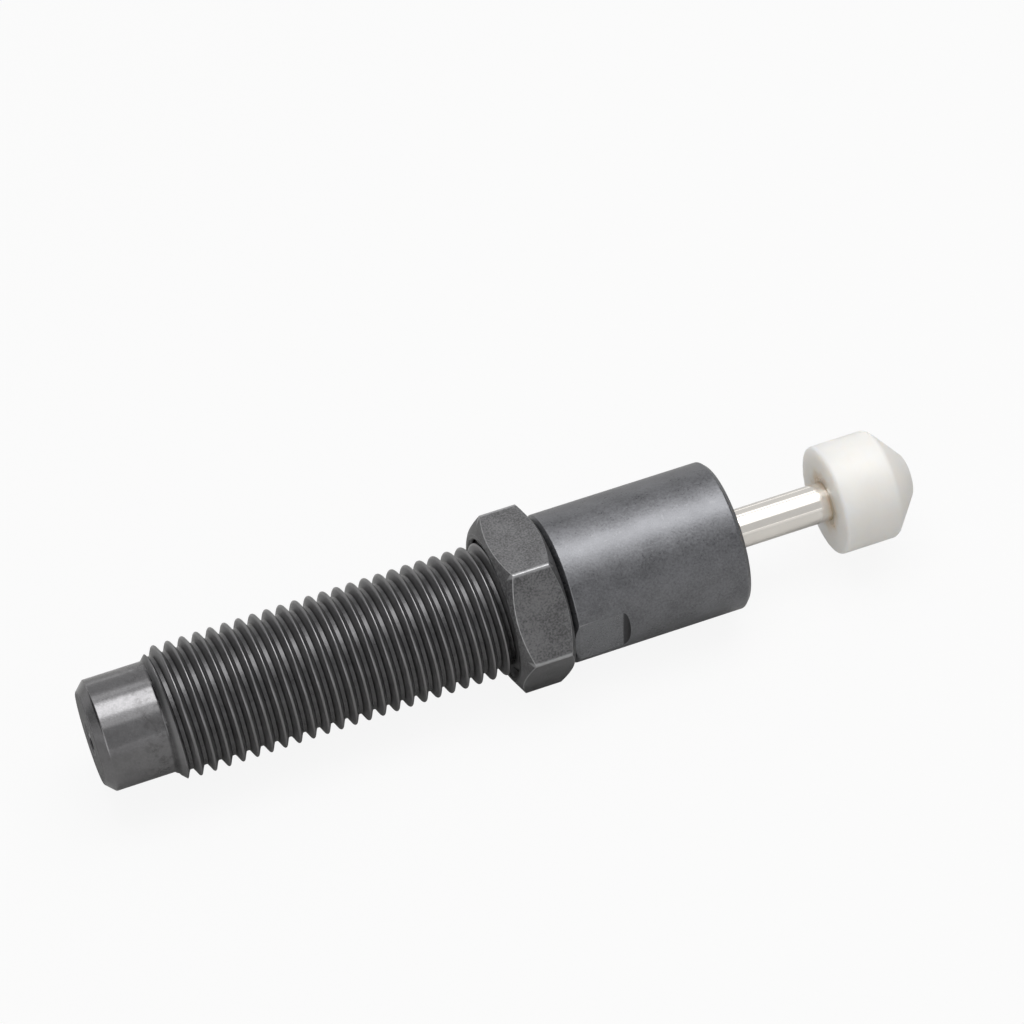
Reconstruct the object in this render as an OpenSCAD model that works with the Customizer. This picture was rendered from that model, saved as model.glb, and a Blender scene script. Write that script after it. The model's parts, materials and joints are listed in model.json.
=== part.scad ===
// Miniature threaded shock absorber with a lock nut and a stop collar.
//
// A load strikes the plastic impact cap and pushes the rod in. The piston then
// drives oil out of the pressure tube through a row of metering orifices, which
// it covers one after another, so the force stays level over the whole stroke.
// A coil spring behind the piston pushes the rod out again, and the oil comes
// back past a floating check ring.
//
// Frame: X runs along the axis towards the impact cap and Z is up. The origin is
// on the axis, in the lock nut's rear face, where a machine bracket meets it.
// Threads are left as plain diameters: the bare thread is at its major diameter.

/* [Mounting thread] */
// Major diameter of the thread on the housing
thread_d = 14; // [13:0.5:18]
// Pitch of that thread
thread_pitch = 1.5; // [1:0.25:1.75]
// Radial relief of the thread under the lock nut and the collar
covered_relief = 0.2; // [0.1:0.05:0.4]
// Radial clearance of the nut and the collar on the thread
thread_clearance = 0.05; // [0.03:0.01:0.1]

/* [Housing] */
// Wall of the smooth rear end
tail_wall = 1.05; // [0.9:0.05:1.3]
// Length of the smooth rear end
tail_l = 7.15; // [5:0.05:12]
// Chamfer on the rear edge
tail_chamfer = 1; // [0.3:0.1:1.5]
// Chamfer on the front edge
front_chamfer = 0.7; // [0.3:0.1:1]
// Radial step from the main bore out to the gland's bore
gland_step_w = 0.4; // [0.3:0.05:0.5]
// Distance from the front face back to the retaining ring's groove
ring_inset = 1.75; // [1.2:0.05:3]

/* [Lock nut] */
// Wall of the nut from its thread to a flat
nut_wall = 1.5; // [1.2:0.1:3]
// Thickness of the nut
nut_t = 6; // [4:0.5:10]
// Angle between a nut chamfer and the nut's face
nut_chamfer_angle = 30; // [20:1:35]
// Diameter of the flat left inside the chamfer, as a share of the width across flats
nut_face_share = 0.94; // [0.92:0.01:0.98]

/* [Stop collar] */
// Wall of the collar round the thread
collar_wall = 1; // [0.8:0.1:3]
// Gap between the nut and the collar
collar_gap = 0.1; // [0.05:0.05:0.5]
// Length of housing inside the collar
collar_engagement = 8.9; // [6:0.1:14]
// Length tapped past the end of the housing
tap_runout = 2; // [1:0.1:4]
// Depth of the two wrench flats
flat_depth = 0.5; // [0.3:0.05:0.6]
// Length of the wrench flats, without their sloping end
flat_l = 5.6; // [4:0.1:8]
// Turn of the wrench flats about the axis
flat_turn = 99; // [0:1:179]
// Chamfer on the collar's outer edges
collar_chamfer = 0.5; // [0.2:0.1:0.8]

/* [Impact cap and stroke] */
// Length of rod that shows between the collar and the cap at rest
rod_show = 11.6; // [6:0.1:14]
// Length of the cap
cap_l = 9.2; // [8:0.1:12]
// Radial clearance of the cap inside the collar
cap_clearance = 0.29; // [0.2:0.01:0.6]
// Length of the cap's tapered crown
crown_l = 3; // [2:0.1:4]
// Diameter of the cap's striking face
strike_d = 4.6; // [3:0.1:6]
// Corner radius of the cap
cap_fillet = 0.9; // [0.4:0.1:1.2]
// Depth of the cap's face below the collar at full stroke
stop_margin = 0.7; // [0.3:0.1:1.5]
// Gap between the cap and the housing at full stroke
cap_end_gap = 0.7; // [0.4:0.1:1.5]

/* [Rod] */
// Diameter of the rod
rod_d = 4.2; // [3.6:0.1:4.6]
// Diameter of the spigot that the cap snaps onto
spigot_d = 3.4; // [3:0.1:3.5]
// Depth of the snap groove in the spigot
snap_depth = 0.3; // [0.2:0.05:0.5]
// Length of the snap groove
snap_l = 0.8; // [0.6:0.1:1.2]
// Length of the spigot
spigot_l = 5.2; // [4:0.1:5.6]
// Length of full rod sunk into the cap
rod_seat_l = 1; // [0.5:0.1:1.5]
// Diameter of the threaded stud that holds the piston
stud_d = 2.5; // [2:0.1:2.6]
// Length of stud past the piston nut
stud_end_l = 0.6; // [0.3:0.1:1]

/* [Piston] */
// Thickness of the valve seat
seat_t = 1.1; // [0.8:0.1:2]
// Radial gap around the valve seat, where the oil returns
seat_gap = 0.3; // [0.2:0.05:0.45]
// Wall of the hub that carries the check ring
hub_wall = 0.95; // [0.7:0.05:1.2]
// Thickness of the check ring
check_ring_t = 1.2; // [1:0.1:2]
// Axial travel of the check ring
check_travel = 0.3; // [0.2:0.05:0.6]
// Gap left at each end of that travel
check_gap = 0.05; // [0.03:0.01:0.08]
// Radial gap between the hub and the check ring
check_ring_gap = 0.4; // [0.3:0.05:0.5]
// Radial width of the check ring
check_ring_w = 0.88; // [0.6:0.02:1.2]
// Thickness of the rear piston guide
guide_t = 1.4; // [1:0.1:3]
// Number of oil notches in the guide
guide_notches = 4; // [3:1:6]
// Diameter of each oil notch
notch_d = 1.3; // [1:0.1:1.5]
// Radial running clearance of the piston in the tube
piston_clearance = 0.02; // [0.01:0.01:0.05]
// Thickness of the piston nut
piston_nut_t = 2; // [1.5:0.1:3]

/* [Pressure tube] */
// Radial gap between the tube and the housing
return_gap = 0.3; // [0.2:0.05:0.4]
// Wall of the tube
tube_wall = 1; // [0.7:0.05:1.1]
// Number of metering orifices
orifice_count = 6; // [4:1:8]
// Diameter of a metering orifice
orifice_d = 0.5; // [0.3:0.05:0.6]
// Turn from one orifice to the next
orifice_turn = 75; // [30:5:120]
// Number of return ports at the tube's front
port_count = 4; // [2:1:6]
// Diameter of a return port
port_d = 0.9; // [0.5:0.1:1.2]
// Distance from the tube's front to the return ports
port_inset = 1.9; // [1.5:0.1:2.2]

/* [Return spring] */
// Wire diameter of the spring
wire_d = 0.6; // [0.4:0.05:0.65]
// Number of coils
coil_count = 10; // [7:1:14]
// Length to spare before the coils close up
spring_reserve = 0.6; // [0.4:0.1:3]
// Radial clearance of the spring in the tube
spring_clearance = 0.25; // [0.15:0.05:0.3]

/* [Tube base] */
// Thickness of the base's flange
base_t = 1.2; // [0.8:0.1:3]
// Length of the spigot that centres the tube at both its ends
centre_l = 0.8; // [0.5:0.1:2]
// Length of the pin that keeps the spring straight
guide_pin_l = 3.7; // [2:0.1:3.8]

/* [Rod bearing and foam] */
// Wall of the bearing round the rod
bearing_wall = 0.8; // [0.5:0.05:1]
// Radial running clearance of the rod in its bearing
rod_clearance = 0.03; // [0.01:0.01:0.06]
// Thickness of the bearing's rear flange
bearing_rear_t = 1.2; // [0.8:0.1:2]
// Thickness of the bearing's front flange
bearing_front_t = 0.8; // [0.6:0.1:2]
// Length of the foam sleeve
foam_l = 5.3; // [3:0.1:12]
// Clearance all round the foam and the other soft or loose pieces
loose_gap = 0.05; // [0.02:0.01:0.1]
// Number of oil notches in the rear flange
oil_notches = 6; // [4:1:8]
// Diameter of each of those notches
oil_notch_d = 0.9; // [0.5:0.1:1.2]
// Length of the rebound bumper
bumper_l = 2.6; // [1.5:0.1:5]
// Gap between the bumper and the piston at rest
rebound_gap = 0.1; // [0.05:0.05:0.3]

/* [Gland and seals] */
// Radial width of the rod seal
seal_w = 1.75; // [1.2:0.05:1.85]
// Length of the rod seal
seal_l = 1.7; // [1.2:0.1:3]
// Depth of the groove between the rod seal's two lips
seal_lip_l = 0.9; // [0.5:0.1:1]
// Thickness of the washer that backs the rod seal
washer_t = 0.8; // [0.5:0.1:1.5]
// Thickness of the solid lands between the gland's grooves
gland_land = 0.3; // [0.2:0.05:1]
// Section diameter of the gland's sealing ring
o_ring_d = 0.8; // [0.7:0.05:0.85]
// Length of the sealing ring's groove
o_groove_l = 1.3; // [1.1:0.1:1.6]
// Radial width of the wiper
wiper_w = 1.4; // [1:0.05:1.7]
// Length of the wiper's body
wiper_l = 1.7; // [1.2:0.1:3]
// Height of the wiper's lip in front of its body
wiper_lip_l = 0.6; // [0.3:0.1:0.8]
// Radial clearance of the seals on the moving rod
seal_clearance = 0.04; // [0.02:0.01:0.08]

/* [Retaining ring] */
// Thickness of the retaining ring
ring_t = 0.75; // [0.5:0.05:1.2]
// Radial width of the retaining ring
ring_w = 0.8; // [0.6:0.05:1.1]
// Depth of its groove in the housing
ring_groove = 0.35; // [0.25:0.05:0.4]
// Opening of the ring, in degrees
ring_opening = 40; // [30:5:70]
// Diameter of the ring's lugs
lug_d = 1.5; // [1.2:0.1:1.8]
// Diameter of the pliers' holes in the lugs
lug_hole_d = 0.6; // [0.4:0.1:0.8]

/* [Fill screw] */
// Diameter of the fill screw
fill_d = 3; // [2.5:0.1:3.5]
// Length of the fill screw
fill_l = 2.4; // [2:0.1:4]
// Width across the flats of its socket
fill_socket_af = 1.5; // [1.2:0.1:1.8]
// Depth of its socket
fill_socket_l = 1.3; // [0.8:0.1:1.6]
// Depth of the screw below the rear face
fill_recess = 0.3; // [0.1:0.1:1]
// Thickness of the seal under the screw
fill_seal_t = 0.6; // [0.4:0.1:1]
// Thickness of the land under that seal
fill_land = 0.7; // [0.5:0.1:2]
// Diameter of the filling port
fill_port_d = 1.4; // [0.8:0.1:1.6]

/* [Hidden] */
$fn = 96;

// Fine steps on small curves and on the spring's wire
fillet_steps = 6;
wire_sides = 8;
coil_steps = 18;
// Amount by which a cut runs past the face that it opens
cut = 1;

// Both sides' depth of a tapped thread in the ISO metric profile, as a share of the pitch
tap_depth_share = 1.0825;

// Diameters that follow the thread
thread_tap_d = thread_d - tap_depth_share * thread_pitch;
covered_d = thread_d - 2 * covered_relief;
nut_af = thread_d + 2 * nut_wall;
collar_d = thread_d + 2 * collar_wall;
cap_d = thread_tap_d - 2 * cap_clearance;

// Diameters inside the housing, from the piston's hub outwards
hub_d = stud_d + 2 * hub_wall;
check_id = hub_d + 2 * check_ring_gap;
guide_d = check_id + 2 * check_ring_w;
tube_id = guide_d + 2 * piston_clearance;
tube_od = tube_id + 2 * tube_wall;
bore_d = tube_od + 2 * return_gap;
tail_d = bore_d + 2 * tail_wall;
gland_bore_d = bore_d + 2 * gland_step_w;
spring_od = tube_id - 2 * spring_clearance;
spring_id = spring_od - 2 * wire_d;
flange_d = bore_d - 2 * loose_gap;
centre_d = tube_id - 2 * loose_gap;
gland_d = gland_bore_d - 2 * loose_gap;
seat_d = tube_id - 2 * seat_gap;
rod_bore_d = rod_d + 2 * rod_clearance;
seal_id = rod_d + 2 * seal_clearance;
seal_od = seal_id + 2 * seal_w;
wiper_od = seal_id + 2 * wiper_w;
gland_hole_d = rod_d + 4 * loose_gap;
bearing_d = rod_d + 2 * bearing_wall;
ring_od = gland_bore_d + 2 * (ring_groove - loose_gap);

// Places along X, from the lock nut forwards
start_l = (thread_d - tail_d) / 2;
collar_x = nut_t + collar_gap;
housing_x1 = collar_x + collar_engagement;
collar_l = collar_engagement + cap_end_gap + cap_l + stop_margin;
collar_x1 = collar_x + collar_l;
cap_x = collar_x1 + rod_show;
cap_x1 = cap_x + cap_l;
stroke = rod_show + cap_l + stop_margin;

// Places along X, from the housing's front face back to its rear face
ring_x = housing_x1 - ring_inset - ring_t;
wiper_x = ring_x - wiper_l;
o_groove_x = wiper_x - gland_land - o_groove_l;
gland_x = o_groove_x - gland_land - seal_l - washer_t;
bearing_front_x = gland_x - bearing_front_t;
bearing_rear_x = bearing_front_x - foam_l - 2 * loose_gap;
tube_x1 = bearing_rear_x - bearing_rear_t;
bumper_x1 = tube_x1 - centre_l;
rod_x = bumper_x1 - bumper_l - rebound_gap;
seat_x = rod_x - seat_t;
guide_x1 = seat_x - check_ring_t - check_travel - 2 * check_gap;
guide_x = guide_x1 - guide_t;
spring_l = (coil_count + 1) * wire_d + spring_reserve + stroke;
spring_x = guide_x - spring_l;
tube_x = spring_x - centre_l;
bore_x = tube_x - base_t;
rear_wall = fill_recess + fill_l + fill_seal_t + fill_land;
housing_x = bore_x - rear_wall;
thread_x = housing_x + tail_l;

// Turns a child that stands on the XY plane so that it points along X from x
module along_x(x) {
    translate([x, 0, 0])
        rotate([0, 90, 0])
            children();
}

// A solid of revolution about X; each point is [radius, x]
module turned(points) {
    rotate([0, 90, 0])
        rotate_extrude()
            polygon(points);
}

// A plain round bar or disc
module bar(d, x, x1) {
    along_x(x)
        cylinder(d = d, h = x1 - x);
}

// A plain round tube or washer
module sleeve(d_out, d_in, x, x1) {
    turned([[d_in / 2, x], [d_out / 2, x], [d_out / 2, x1], [d_in / 2, x1]]);
}

// Children repeated round the axis
module round_axis(count, step = 0) {
    turn = step == 0 ? 360 / count : step;
    for (i = [0 : count - 1])
        rotate([i * turn, 0, 0])
            children();
}

// Points of a round corner, from angle a to angle b about [r, x]
function corner(r, x, radius, a, b) = [
    for (i = [0 : fillet_steps])
        let (t = a + (b - a) * i / fillet_steps)
            [r + radius * cos(t), x + radius * sin(t)]
];

// Depth of the orifice that closes i-th, for a level braking force
function orifice_depth(i) = stroke * (1 - pow(1 - i / orifice_count, 2));

module housing() {
    tail_r = tail_d / 2;
    color([0.10, 0.10, 0.11])
        difference() {
            turned([
                [0, housing_x],
                [tail_r - tail_chamfer, housing_x],
                [tail_r, housing_x + tail_chamfer],
                [tail_r, thread_x],
                [thread_d / 2, thread_x + start_l],
                [thread_d / 2, 0],
                [covered_d / 2, 0],
                [covered_d / 2, housing_x1 - front_chamfer],
                [covered_d / 2 - front_chamfer, housing_x1],
                [0, housing_x1]
            ]);
            bar(bore_d, bore_x, housing_x1 + cut);
            bar(gland_bore_d, gland_x, housing_x1 + cut);
            bar(gland_bore_d + 2 * ring_groove, ring_x, ring_x + ring_t + loose_gap);
            bar(fill_port_d, housing_x - cut, bore_x + cut);
            bar(fill_d + loose_gap, housing_x - cut, bore_x - fill_land);
        }
}

module fill_screw() {
    x = housing_x + fill_recess;
    color([0.35, 0.35, 0.37])
        difference() {
            bar(fill_d, x, x + fill_l);
            along_x(x - cut)
                cylinder(d = fill_socket_af / cos(30), h = cut + fill_socket_l, $fn = 6);
        }
}

module fill_seal() {
    x1 = bore_x - fill_land;
    color([0.12, 0.12, 0.12])
        bar(fill_d - loose_gap, x1 - fill_seal_t, x1);
}

module tube_base() {
    color([0.55, 0.55, 0.57])
        union() {
            bar(flange_d, bore_x, tube_x);
            bar(centre_d, tube_x, spring_x);
            bar(spring_id - 4 * loose_gap, spring_x, spring_x + guide_pin_l);
        }
}

// The tube's metering orifices lie along a helix. Each is placed where the check
// ring's front edge covers it when the load has lost its share of speed.
module pressure_tube() {
    color([0.62, 0.62, 0.64])
        difference() {
            sleeve(tube_od, tube_id, tube_x, tube_x1);
            for (i = [1 : orifice_count])
                rotate([i * orifice_turn, 0, 0])
                    translate([guide_x - orifice_depth(i), 0, 0])
                        cylinder(d = orifice_d, h = tube_od);
            round_axis(port_count)
                translate([tube_x1 - port_inset, 0, 0])
                    cylinder(d = port_d, h = tube_od);
        }
}

// The wire's centre line: a closed coil at each end and open coils between them
function coil_rise(u) = let (open = spring_l - 3 * wire_d)
    wire_d * (0.5 + min(u, 1) + max(u - coil_count + 1, 0))
        + open * min(max(u - 1, 0), coil_count - 2) / (coil_count - 2);

function coil_ring(u) = let (
        mean_r = (spring_od - wire_d) / 2,
        turn = 360 * u
    ) [
        for (k = [0 : wire_sides - 1])
            let (
                side = 360 * k / wire_sides,
                r = mean_r + wire_d / 2 * cos(side)
            )
                [spring_x + coil_rise(u) + wire_d / 2 * sin(side), r * cos(turn), r * sin(turn)]
    ];

module return_spring() {
    rings = coil_count * coil_steps;
    points = [for (i = [0 : rings]) each coil_ring(i / coil_steps)];
    sides = [
        for (i = [0 : rings - 1], k = [0 : wire_sides - 1])
            let (
                a = i * wire_sides + k,
                b = i * wire_sides + (k + 1) % wire_sides
            )
                [a, a + wire_sides, b + wire_sides, b]
    ];
    first = [for (k = [0 : wire_sides - 1]) k];
    last = [for (k = [wire_sides - 1 : -1 : 0]) rings * wire_sides + k];
    color([0.45, 0.46, 0.48])
        polyhedron(points, concat(sides, [first, last]), convexity = 10);
}

module rod_bearing() {
    flange_x = bearing_rear_x - bearing_rear_t;
    color([0.72, 0.56, 0.28])
        difference() {
            union() {
                bar(centre_d, bumper_x1, flange_x);
                bar(flange_d, flange_x, bearing_rear_x);
                bar(bearing_d, bearing_rear_x, bearing_front_x);
                bar(flange_d, bearing_front_x, gland_x);
            }
            bar(rod_bore_d, bumper_x1 - cut, gland_x + cut);
            round_axis(oil_notches)
                translate([0, 0, flange_d / 2])
                    bar(oil_notch_d, flange_x - cut, bearing_rear_x + cut);
        }
}

module accumulator_foam() {
    color([0.25, 0.26, 0.30])
        sleeve(flange_d, bearing_d + 2 * loose_gap, bearing_rear_x + loose_gap, bearing_front_x - loose_gap);
}

module rebound_bumper() {
    color([0.65, 0.22, 0.12])
        sleeve(seat_d, rod_d + 4 * loose_gap, bumper_x1 - bumper_l, bumper_x1);
}

module backup_washer() {
    color([0.80, 0.80, 0.82])
        sleeve(seal_od, gland_hole_d, gland_x, gland_x + washer_t);
}

// A lipped seal, open towards the oil
module rod_seal() {
    x = gland_x + washer_t;
    x1 = x + seal_l;
    mid_r = (seal_id + seal_od) / 4;
    lip = seal_w / 4;
    color([0.08, 0.10, 0.16])
        turned([
            [seal_id / 2, x],
            [seal_id / 2 + lip, x],
            [mid_r, x + seal_lip_l],
            [seal_od / 2 - lip, x],
            [seal_od / 2, x],
            [seal_od / 2, x1],
            [seal_id / 2, x1]
        ]);
}

module seal_gland() {
    color([0.70, 0.71, 0.73])
        difference() {
            sleeve(gland_d, gland_hole_d, gland_x, ring_x);
            bar(seal_od + 2 * loose_gap, gland_x - cut, gland_x + washer_t + seal_l);
            bar(wiper_od + 2 * loose_gap, wiper_x, ring_x + cut);
            sleeve(gland_d + cut, gland_bore_d - 2 * o_ring_d, o_groove_x, o_groove_x + o_groove_l);
        }
}

module gland_o_ring() {
    color([0.05, 0.05, 0.05])
        along_x(o_groove_x + o_groove_l / 2)
            rotate_extrude()
                translate([(gland_bore_d - o_ring_d) / 2, 0])
                    circle(d = o_ring_d - loose_gap / 2);
}

// A dust wiper whose lip leans forward onto the rod
module wiper_ring() {
    inner_r = seal_id / 2;
    lip = wiper_w / 4;
    color([0.06, 0.06, 0.07])
        turned([
            [inner_r + lip, wiper_x],
            [wiper_od / 2, wiper_x],
            [wiper_od / 2, ring_x],
            [inner_r + 2 * lip, ring_x],
            [inner_r + lip, ring_x + wiper_lip_l],
            [inner_r, ring_x + wiper_lip_l],
            [inner_r + lip, ring_x - wiper_l / 2]
        ]);
}

// An open spring ring with a drilled lug at each end, held in the housing's groove
module retaining_ring() {
    lug_r = ring_od / 2 - ring_w - lug_d / 4;
    lug_turn = ring_opening / 2 + asin(lug_d / 2 / lug_r);
    color([0.30, 0.30, 0.32])
        difference() {
            union() {
                sleeve(ring_od, ring_od - 2 * ring_w, ring_x, ring_x + ring_t);
                for (side = [-1, 1])
                    rotate([side * lug_turn, 0, 0])
                        translate([0, 0, lug_r])
                            bar(lug_d, ring_x, ring_x + ring_t);
            }
            along_x(ring_x - cut)
                linear_extrude(ring_t + 2 * cut)
                    polygon([
                        [0, 0],
                        [-ring_od, -ring_od * tan(ring_opening / 2)],
                        [-ring_od, ring_od * tan(ring_opening / 2)]
                    ]);
            for (side = [-1, 1])
                rotate([side * lug_turn, 0, 0])
                    translate([0, 0, lug_r])
                        bar(lug_hole_d, ring_x - cut, ring_x + ring_t + cut);
        }
}

module piston_rod() {
    spigot_x = cap_x + rod_seat_l;
    stud_x = guide_x - piston_nut_t - stud_end_l;
    snap_x = spigot_x + (spigot_l - snap_l) / 2;
    groove_r = spigot_d / 2 - snap_depth;
    color([0.86, 0.86, 0.88])
        turned([
            [0, stud_x],
            [stud_d / 2, stud_x],
            [stud_d / 2, rod_x],
            [rod_d / 2, rod_x],
            [rod_d / 2, spigot_x],
            [spigot_d / 2, spigot_x],
            [spigot_d / 2, snap_x],
            [groove_r, snap_x],
            [groove_r, snap_x + snap_l],
            [spigot_d / 2, snap_x + snap_l],
            [spigot_d / 2, spigot_x + spigot_l],
            [0, spigot_x + spigot_l]
        ]);
}

module valve_seat() {
    color([0.78, 0.62, 0.32])
        difference() {
            union() {
                bar(seat_d, seat_x, rod_x);
                bar(hub_d, guide_x1, seat_x);
            }
            bar(stud_d + loose_gap, guide_x1 - cut, rod_x + cut);
        }
}

module check_ring() {
    x1 = seat_x - check_gap;
    color([0.50, 0.50, 0.52])
        sleeve(guide_d, check_id, x1 - check_ring_t, x1);
}

module piston_guide() {
    color([0.70, 0.52, 0.26])
        difference() {
            sleeve(guide_d, stud_d + loose_gap, guide_x, guide_x1);
            round_axis(guide_notches)
                translate([0, 0, guide_d / 2])
                    bar(notch_d, guide_x - cut, guide_x1 + cut);
        }
}

module piston_nut() {
    color([0.60, 0.60, 0.62])
        along_x(guide_x - piston_nut_t)
            difference() {
                cylinder(d = spring_id - 4 * loose_gap, h = piston_nut_t, $fn = 6);
                translate([0, 0, -cut])
                    cylinder(d = stud_d + loose_gap, h = piston_nut_t + 2 * cut, $fn = 48);
            }
}

// The cap's crown tapers to the striking face between two rounded edges
module impact_cap() {
    cap_r = cap_d / 2;
    strike_r = strike_d / 2;
    spigot_x = cap_x + rod_seat_l;
    snap_x = spigot_x + (spigot_l - snap_l) / 2;
    slope = atan2(crown_l, cap_r - strike_r);
    shoulder_run = cap_fillet * tan((90 - slope) / 2);
    face_run = cap_fillet * tan(slope / 2);
    rear_r = cap_fillet / 2;
    color([0.94, 0.93, 0.90])
        difference() {
            turned(concat(
                [[0, cap_x]],
                corner(cap_r - rear_r, cap_x + rear_r, rear_r, -90, 0),
                corner(cap_r - cap_fillet, cap_x1 - crown_l - shoulder_run, cap_fillet, 0, 90 - slope),
                corner(strike_r - face_run, cap_x1 - cap_fillet, cap_fillet, 90 - slope, 90),
                [[0, cap_x1]]
            ));
            bar(rod_d + loose_gap / 2, cap_x - cut, spigot_x);
            bar(spigot_d - 2 * snap_depth + loose_gap / 2, snap_x, snap_x + snap_l);
            bar(spigot_d + loose_gap / 2, spigot_x, snap_x);
            bar(spigot_d + loose_gap / 2, snap_x + snap_l, spigot_x + spigot_l);
        }
}

// A hexagon turned down to a cone at both faces, with an entry chamfer in the bore
module lock_nut() {
    face_r = nut_face_share * nut_af / 2;
    corner_r = nut_af / 2 / cos(30);
    reach = corner_r + cut;
    fall = (reach - face_r) * tan(nut_chamfer_angle);
    bore_r = thread_d / 2 + thread_clearance;
    entry = thread_pitch / 4;
    color([0.24, 0.24, 0.25])
        difference() {
            intersection() {
                along_x(0)
                    rotate([0, 0, 30])
                        cylinder(r = corner_r, h = nut_t, $fn = 6);
                turned([
                    [0, 0],
                    [face_r, 0],
                    [reach, fall],
                    [reach, nut_t - fall],
                    [face_r, nut_t],
                    [0, nut_t]
                ]);
            }
            turned([
                [0, -cut],
                [bore_r + entry + cut, -cut],
                [bore_r, entry],
                [bore_r, nut_t - entry],
                [bore_r + entry + cut, nut_t + cut],
                [0, nut_t + cut]
            ]);
        }
}

// The cut of a wrench flat from x on, whose end slopes out at 45 degrees
module wrench_cut(x, r, l, depth) {
    over = depth + cut;
    rotate([90, 0, 0])
        linear_extrude(4 * r, center = true)
            polygon([
                [x - cut, r - depth],
                [x + l, r - depth],
                [x + l + over, r - depth + over],
                [x - cut, r - depth + over]
            ]);
}

// The collar is drilled to the tapping size right through, for the cap, and is
// tapped from the rear, where two wrench flats are milled
module stop_collar() {
    collar_r = collar_d / 2;
    tap_x = housing_x1 + tap_runout;
    edge = collar_chamfer;
    color([0.16, 0.16, 0.17])
        difference() {
            turned([
                [0, collar_x],
                [collar_r - edge, collar_x],
                [collar_r, collar_x + edge],
                [collar_r, collar_x1 - edge],
                [collar_r - edge, collar_x1],
                [0, collar_x1]
            ]);
            bar(covered_d + 2 * thread_clearance, collar_x - cut, tap_x);
            bar(thread_tap_d, collar_x, collar_x1 + cut);
            turned([
                [0, collar_x1 - edge],
                [thread_tap_d / 2, collar_x1 - edge],
                [thread_tap_d / 2 + edge + cut, collar_x1 + cut],
                [0, collar_x1 + cut]
            ]);
            for (side = [0, 180])
                rotate([side + flat_turn, 0, 0])
                    wrench_cut(collar_x, collar_r, flat_l, flat_depth);
        }
}

housing();
fill_screw();
fill_seal();
tube_base();
pressure_tube();
return_spring();
rod_bearing();
accumulator_foam();
rebound_bumper();
backup_washer();
rod_seal();
seal_gland();
gland_o_ring();
wiper_ring();
retaining_ring();
piston_rod();
valve_seat();
check_ring();
piston_guide();
piston_nut();
impact_cap();
lock_nut();
stop_collar();
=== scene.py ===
# %% [markdown]
# # A small threaded shock absorber, dressed for its portrait
# The solids come ready from the construction model, and every one of them is at its true place and size.
# This notebook gives them what construction leaves out: real screw threads, rounded and worn edges, and a
# finish for each metal, plastic and rubber. Blender works in metres, but sizes are typed in millimetres.

# %% Load the construction model
import json
import math

import bmesh
import bpy
import numpy as np
from mathutils import Matrix, Vector


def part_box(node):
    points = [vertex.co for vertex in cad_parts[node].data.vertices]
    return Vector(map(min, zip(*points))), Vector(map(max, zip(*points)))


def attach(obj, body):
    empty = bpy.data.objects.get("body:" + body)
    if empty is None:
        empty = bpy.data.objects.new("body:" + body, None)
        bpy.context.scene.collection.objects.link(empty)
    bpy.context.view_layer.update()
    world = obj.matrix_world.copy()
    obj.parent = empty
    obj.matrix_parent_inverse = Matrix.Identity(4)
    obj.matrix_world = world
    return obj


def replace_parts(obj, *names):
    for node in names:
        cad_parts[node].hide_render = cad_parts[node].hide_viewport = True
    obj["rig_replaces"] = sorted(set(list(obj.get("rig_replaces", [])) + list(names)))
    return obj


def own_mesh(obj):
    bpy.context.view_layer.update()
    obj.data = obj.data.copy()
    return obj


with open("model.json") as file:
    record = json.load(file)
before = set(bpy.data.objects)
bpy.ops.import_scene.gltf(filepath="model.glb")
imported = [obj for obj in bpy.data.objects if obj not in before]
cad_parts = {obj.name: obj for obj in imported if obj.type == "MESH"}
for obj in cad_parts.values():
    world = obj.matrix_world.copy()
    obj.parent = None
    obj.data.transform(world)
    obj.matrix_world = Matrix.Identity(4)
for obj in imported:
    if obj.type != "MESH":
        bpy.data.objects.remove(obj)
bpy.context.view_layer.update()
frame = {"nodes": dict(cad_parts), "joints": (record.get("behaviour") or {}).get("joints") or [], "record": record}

MM = 0.001


def span(node):
    """A turned solid's rear end, front end and outer radius, in millimetres."""
    low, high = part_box(node)
    return round(low.x / MM, 3), round(high.x / MM, 3), round(high.z / MM, 3)


print("housing:", span("housing"), "collar:", span("stop_collar"), "cap:", span("impact_cap"))

# %% [markdown]
# ## Sums on sockets
# Both the shapes and the finishes below need arithmetic inside node trees. Placing each Math node by hand
# makes a simple formula hard to read, so one small class wraps a socket and lets Python's own + - * / build
# the nodes. The same class serves geometry and shader trees, because the Math node lives in both.


# %% A socket that can be used in a formula
class Flow:
    """One output socket; arithmetic on it adds Math nodes to its tree."""

    def __init__(self, tree, socket):
        self.tree, self.socket = tree, socket

    def sum_of(self, operation, *values):
        return add(self.tree, "ShaderNodeMath", {"operation": operation}, dict(enumerate(values)))

    def __add__(self, other):
        return self.sum_of("ADD", self, other)

    def __sub__(self, other):
        return self.sum_of("SUBTRACT", self, other)

    def __rsub__(self, other):
        return self.sum_of("SUBTRACT", other, self)

    def __mul__(self, other):
        return self.sum_of("MULTIPLY", self, other)

    def __truediv__(self, other):
        return self.sum_of("DIVIDE", self, other)

    def __pow__(self, other):
        return self.sum_of("POWER", self, other)

    def least(self, other, soft=0.0):
        """The smaller of two values, with the crossing rounded over soft."""
        return self.sum_of("SMOOTH_MIN" if soft else "MINIMUM", self, other, soft)

    def most(self, other, soft=0.0):
        """The larger of two values, with the crossing rounded over soft."""
        return self.sum_of("SMOOTH_MAX" if soft else "MAXIMUM", self, other, soft)

    def step(self, low, high):
        """Rises smoothly from 0 at low to 1 at high."""
        return add(
            self.tree, "ShaderNodeMapRange", {"interpolation_type": "SMOOTHSTEP"},
            {"Value": self, "From Min": low, "From Max": high},
        )


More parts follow.
